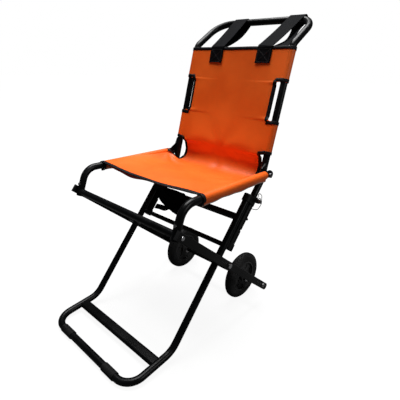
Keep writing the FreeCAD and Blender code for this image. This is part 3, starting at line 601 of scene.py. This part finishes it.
def hem_profile(sign, hang):
    """Loop round the tube with a flat tail below it, as (across, up) offsets from the tube."""
    radius = cloth_face
    round_part = np.radians(np.linspace(112, -62, 30))
    outer = np.stack([np.cos(round_part) * radius, np.sin(round_part) * radius], axis=1)
    tail = np.array([[0.0045, -hang + 0.001], [0.003, -hang], [0.0008, -hang + 0.0005]])
    back_part = np.radians(np.linspace(-104, -236, 20))
    inner = np.stack([np.cos(back_part) * radius, np.sin(back_part) * radius], axis=1)
    loop = np.vstack([outer, tail, inner])
    loop[:, 0] *= sign
    return loop


hem_drop = 0.0165
sleeve_y = np.linspace(rear_edge, path[0, 0] + 0.0005, 90)
for side, sign in (("left", 1.0), ("right", -1.0)):
    wobble = 0.0012 * np.sin(sleeve_y * 46 + sign) + 0.0006 * np.sin(sleeve_y * 117)
    line = np.column_stack([np.full(len(sleeve_y), sign * seat_half), sleeve_y,
                            np.full(len(sleeve_y), seat_pivot[1])])
    loops = [hem_profile(sign, hem_drop + extra) for extra in wobble]
    piece = swept("seat_sleeve_" + side, line, (1, 0, 0), loops)
    finish(piece, orange_cloth, "seat")
    # A thin greyish pink strip over the hem's lower edge. It is painted shade where the underside of the
    # fold turns away from the light.
    shaded_hem_line = np.column_stack([np.full(len(sleeve_y), sign * (seat_half + 0.0022)), sleeve_y,
                                seat_pivot[1] - 0.0150 - wobble])
    strip = swept("seat_hem_" + side, shaded_hem_line, (1, 0, 0),
                  [[-0.0022, -0.0022], [0.0022, -0.0022], [0.0028, 0.0], [0.0022, 0.0022],
                   [-0.0022, 0.0022]])
    finish(strip, hem_cloth, "seat")

ring_turns = np.linspace(0, 2 * np.pi, 41)[:-1]
ring_shape = np.stack([np.cos(ring_turns), np.sin(ring_turns)], axis=1)
for side, sign in (("left", 1.0), ("right", -1.0)):
    for title, low_end, high_end in (("lower", cut_high, window_low), ("upper", window_high, panel_top)):
        ups = np.linspace(low_end, high_end, 40)
        line = np.column_stack([np.full(len(ups), sign * leg_half), on_back(ups)])
        piece = swept("back_sleeve_%s_%s" % (title, side), line, (1, 0, 0),
                      ring_shape * cloth_face)
        finish(piece, orange_cloth, "back")


# ---- binding tape --------------------------------------------------------------------------
# Black polyester tape, folded over every free edge of the sling and sewn down: the seat's front,
# the cut-outs by the hinge, the hand windows and the top of the back.

tape_cloth = woven("tape_cloth", (0.0018, 0.002, 0.0028), (0.0055, 0.006, 0.008),
                   1600.0, 0.55, 0.35, 0.0, 40.0, 0.12)
tape_width = 0.010
tape_wall = 0.0009
band_width = 0.009


def folded(width):
    """Loop of the folded tape: from its inner edge over the cloth's edge to the other face."""
    out = cloth / 2 + tape_wall
    return np.array([[width, out], [width * 0.5, out + 0.0003], [0.0006, out], [-0.0009, out * 0.55],
                     [-0.0012, 0.0], [-0.0009, -out * 0.55], [0.0006, -out],
                     [width * 0.5, -out - 0.0003], [width, -out]])


def edge_tape(name, line, normal, inward_sign, body, width=tape_width):
    """Folded tape along an edge of the sheet; inward is the heading turned about the sheet's normal."""
    heading = np.gradient(line, axis=0)
    inward = np.cross(normal, heading) * inward_sign
    piece = swept(name, line, inward, folded(width))
    return finish(piece, tape_cloth, body)


sheet_normal = np.cross(np.gradient(sheet_points, axis=1), np.gradient(sheet_points, axis=0))
sheet_normal /= np.linalg.norm(sheet_normal, axis=2, keepdims=True)
for side, sign, column in (("left", 1.0, -1), ("right", -1.0, 0)):
    edge = sheet_points[:, column]
    cut = (seat_y > rear_edge - 0.012) & (up < cut_high + 0.001)
    edge_tape("cut_tape_" + side, edge[cut], sheet_normal[cut, column], sign, "hinge")
    hole = (~deck) & (inside > 0.12)
    below = np.argmax(inside > 0) - 1
    above = len(inside) - np.argmax(inside[::-1] > 0)
    for title, row, way in (("low", below, -1), ("high", above, 1)):
        beside = sheet_points[row][sign * sheet_points[row, :, 0] > window_half - 0.006]
        strip = swept("window_%s_tape_%s" % (title, side), beside,
                      (0, way * up_back[0], way * up_back[1]), folded(0.009))
        finish(strip, tape_cloth, "back")
    edge_tape("window_tape_" + side, edge[hole], sheet_normal[hole, column], sign, "back")
    for title, start in (("cut", cut_high), ("window_low", window_low - band_width),
                         ("window_high", window_high), ("top", panel_top - band_width)):
        ups = np.linspace(start, start + band_width, 6)
        line = np.column_stack([np.full(len(ups), sign * leg_half), on_back(ups)])
        band = swept("sleeve_tape_%s_%s" % (title, side), line, (1, 0, 0),
                     ring_shape * (cloth_face + tape_wall))
        finish(band, tape_cloth, "back")

top_edge = sheet_points[-1, 1:-1]
edge_tape("top_tape", top_edge, sheet_normal[-1, 1:-1], -1.0, "back", 0.008)

front_edge = sheet_points[0, 1:-1]
edge_tape("front_tape", front_edge, sheet_normal[0, 1:-1], 1.0, "seat", 0.009)
for side, sign in (("left", 1.0), ("right", -1.0)):
    corner_y = np.linspace(path[0, 0] + 0.0085, path[0, 0] - 0.0004, 6)
    line = np.column_stack([np.full(len(corner_y), sign * seat_half), corner_y,
                            np.full(len(corner_y), seat_pivot[1])])
    band = swept("front_corner_tape_" + side, line, (1, 0, 0), hem_profile(sign, 0.0172) * 1.06)
    finish(band, tape_cloth, "seat")


# ---- lining flap ---------------------------------------------------------------------------
# A second, dark red layer is sewn under the front of the seat. Its slack lower edge shows below
# the binding, mostly towards the right-hand side.

flap_x = np.linspace(-0.188, 0.17, 90)
flap_down = np.linspace(0, 1, 8)
slack = (0.0105 * np.exp(-((flap_x + 0.075) / 0.055) ** 2)
         + 0.0055 * np.exp(-((flap_x + 0.15) / 0.03) ** 2) + 0.0015)
front_z = np.interp(flap_x, sheet_points[0, :, 0], sheet_points[0, :, 2])
flap = np.stack([np.broadcast_to(flap_x, (8, 90)),
                 path[0, 0] + 0.004 + 0.012 * flap_down[:, None] ** 2 + np.zeros((8, 90)),
                 front_z - 0.0016 - (slack + 0.0025) * np.sin(flap_down[:, None] * np.pi / 2)], axis=-1)
piece = surface("lining_flap", flap)
thicken(piece, 0.0008)
finish(piece, lining_cloth, "seat")


# ---- carrying straps -----------------------------------------------------------------------
# Two lengths of 50 mm webbing are sewn to the front of the back, lead up over the push bar and
# come down behind it. The left-hand one leans outward. Each has a boxed stitch at its sewn end.

webbing = woven("webbing", (0.0008, 0.0009, 0.0013), (0.0026, 0.0028, 0.0040),
                700.0, 0.75, 0.5, 0.0, 30.0, 0.04)
thread = coated("thread", (0.012, 0.012, 0.014), (0.03, 0.03, 0.035), 0.5, 0.7, 900.0, 0.1)
strap_wide = 0.050
strap_thick = 0.0022
low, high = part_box("back_frame")
bar = np.array([high.y - tube_radius, high.z - tube_radius])


def band(width, thickness):
    """Flat loop with softly rounded edges."""
    w = width / 2
    t = thickness / 2
    return np.array([[-w, -t * 0.5], [-w + 0.0006, -t], [w - 0.0006, -t], [w, -t * 0.5],
                     [w, t * 0.5], [w - 0.0006, t], [-w + 0.0006, t], [-w, t * 0.5]])


def around_bar(start, end, radius, steps=24):
    """Side-view run from a point, tangent over the bar and down to another point behind."""
    def touch(point, side):
        away = point - bar
        distance = np.hypot(*away)
        return math.atan2(away[1], away[0]) + side * math.acos(radius / distance)
    first = touch(start, -1)
    last = touch(end, 1)
    if last > first:
        last -= 2 * math.pi
    angles = np.linspace(first, last, steps)
    wrap = bar + radius * np.stack([np.cos(angles), np.sin(angles)], axis=1)
    rise = start + (wrap[0] - start) * np.linspace(0, 1, 24)[:-1, None]
    fall = wrap[-1] + (end - wrap[-1]) * np.linspace(0, 1, 24)[1:, None]
    return np.vstack([rise, wrap, fall])


def behind_tubes(ups, x):
    """How far the sagging cloth sits behind its tubes, up the back and out from the middle."""
    column = round((x / leg_half + 1) / 2 * (columns - 1))
    return np.interp(ups, climb[~deck], (drop - crease)[~deck, column])


strap_front = cloth_face + tape_wall + strap_thick / 2 + 0.0003
strap_rear = cloth_out - cloth / 2 - tape_wall - strap_thick / 2 - 0.0003
strap_places = [("right", -0.079, -0.082, -0.080, 12), ("left", 0.097, 0.121, 0.138, -46)]
sewn_run = 0.047
for side, foot_x, bar_x, tail_x, twist in strap_places:
    patch_up = np.linspace(panel_top - 0.046, panel_top + 0.001, 12)
    sewn_up = np.linspace(panel_top - 0.002, panel_top - 0.038, 10)
    patch = on_back(patch_up, strap_front - behind_tubes(patch_up, foot_x))
    sewn = on_back(sewn_up, strap_rear - behind_tubes(sewn_up, tail_x))
    over = around_bar(patch[-1], sewn[0], tube_radius + strap_thick / 2 + 0.0002)
    line = np.vstack([patch, over[1:], sewn[1:]])
    gone = np.cumsum(np.linalg.norm(np.diff(line, axis=0, prepend=line[:1]), axis=1))
    top_at = gone[np.argmax(line[:, 1])]
    rising = np.clip((gone - sewn_run) / (top_at - sewn_run), 0, 1)
    falling = np.clip((gone - top_at) / (gone[-1] - 0.04 - top_at), 0, 1)
    lean = np.where(gone < top_at, foot_x + (bar_x - foot_x) * rising,
                    bar_x + (tail_x - bar_x) * falling)
    sagging = 0.003 * np.sin(np.pi * rising) * (gone < top_at)
    behind = np.clip((gone - top_at - 0.012) / (gone[-1] - 0.05 - top_at), 0, 1)
    bow = 0.009 * np.sin(np.pi * behind)
    full = np.column_stack([lean, line[:, 0] - sagging * 0.4 + bow, line[:, 1] - sagging - bow * 0.6])
    turn = math.radians(twist) * np.sin(np.pi * behind)
    facing = np.column_stack([np.cos(turn), np.sin(turn), np.zeros(len(turn))])
    strap = swept("carry_webbing_" + side, full, facing, band(strap_wide, strap_thick), roundness=False)
    finish(strap, webbing, "back")
    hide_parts("carry_strap_" + side)
    box_x = foot_x + np.array([-0.020, 0.020, 0.020, -0.020, -0.020, 0.020, -0.020, 0.020])
    box_s = panel_top - 0.044 + np.array([0.0, 0.0, 0.036, 0.036, 0.0, 0.036, 0.036, 0.0])
    pace = np.linspace(0, len(box_x) - 1, 141)
    box_up = np.interp(pace, np.arange(len(box_s)), box_s)
    stitch = np.column_stack([np.interp(pace, np.arange(len(box_x)), box_x),
                              on_back(box_up, strap_front + strap_thick / 2 + 0.0001
                                      - behind_tubes(box_up, foot_x))])
    seam = swept("strap_seam_" + side, stitch, (0, before_back[0], before_back[1]),
                 ring_shape[::8] * 0.0005)
    finish(seam, thread, "back")


# ---- stowed restraint strap ----------------------------------------------------------------
# The sitter's belt is wound round the upper cross bar and hangs below it in a slack fold, with
# its side-release buckle at the bottom and a loose tail.

low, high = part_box("upper_cross_bar")
bar_point = np.array([(low.y + high.y) / 2, (low.z + high.z) / 2])
turns = np.linspace(0, 2 * np.pi, 49)
wind_radius = tube_radius + 0.0025
for number, (middle, lift) in enumerate(((-0.118, 0.0), (-0.086, 0.0008), (-0.058, 0.0))):
    circle = np.column_stack([middle + 0.004 * np.sin(turns / 2),
                              bar_point[0] + (wind_radius + lift) * np.cos(turns),
                              bar_point[1] + (wind_radius + lift) * np.sin(turns)])
    wrap = swept("belt_turn_%d" % number, circle, (1, 0, 0), band(0.030, strap_thick), roundness=False)
    finish(wrap, webbing, "legs")
    if number == 0:
        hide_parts("restraint_strap")


def curve(points, count):
    """Smooth run through given points: Catmull-Rom spans, worked out together."""
    points = np.asarray(points, float)
    padded = np.vstack([2 * points[0] - points[1], points, 2 * points[-1] - points[-2]])
    t = np.linspace(0, len(points) - 1 - 1e-9, count)
    i = t.astype(int)
    f = (t - i)[:, None]
    a, b, c, d = padded[i], padded[i + 1], padded[i + 2], padded[i + 3]
    return 0.5 * ((2 * b) + (c - a) * f + (2 * a - 5 * b + 4 * c - d) * f ** 2
                  + (3 * b - a - 3 * c + d) * f ** 3)


front_y = bar_point[0] - 0.014
hang_z = bar_point[1]
fold_shapes = [(-0.140, -0.022, -0.046, 0.036, 0.0), (-0.136, -0.030, -0.056, 0.024, 0.004),
               (-0.128, -0.020, -0.050, 0.012, -0.004)]
for number, (near_x, far_x, low_x, sink, out) in enumerate(fold_shapes):
    fold = curve([(near_x, front_y + 0.006, hang_z + 0.010),
                  (near_x * 0.8 + low_x * 0.2, front_y - out, hang_z - sink * 0.45),
                  (low_x - 0.014, front_y - out - 0.006, hang_z - sink * 0.95),
                  (low_x + 0.012, front_y - out - 0.006, hang_z - sink * 0.97),
                  (far_x * 0.7 + low_x * 0.3, front_y - out, hang_z - sink * 0.4),
                  (far_x, front_y + 0.008, hang_z + 0.008)], 60)
    drape = swept("belt_fold_%d" % number, fold, (0, 0.25, 1), band(0.036, strap_thick), roundness=False)
    finish(drape, webbing, "legs")
tail = curve([(-0.070, front_y - 0.010, hang_z - 0.036), (-0.086, front_y - 0.018, hang_z - 0.043),
              (-0.104, front_y - 0.026, hang_z - 0.040), (-0.120, front_y - 0.034, hang_z - 0.038)], 40)
end = swept("belt_tail", tail, (0, 1, 0.3), band(0.022, 0.0018), roundness=False)
finish(end, webbing, "legs")

buckle_plastic = coated("buckle_plastic", (0.004, 0.004, 0.0045), (0.012, 0.012, 0.012),
                        0.35, 0.5, 600.0, 0.12)
paint(buckle_plastic, "restraint_buckle")
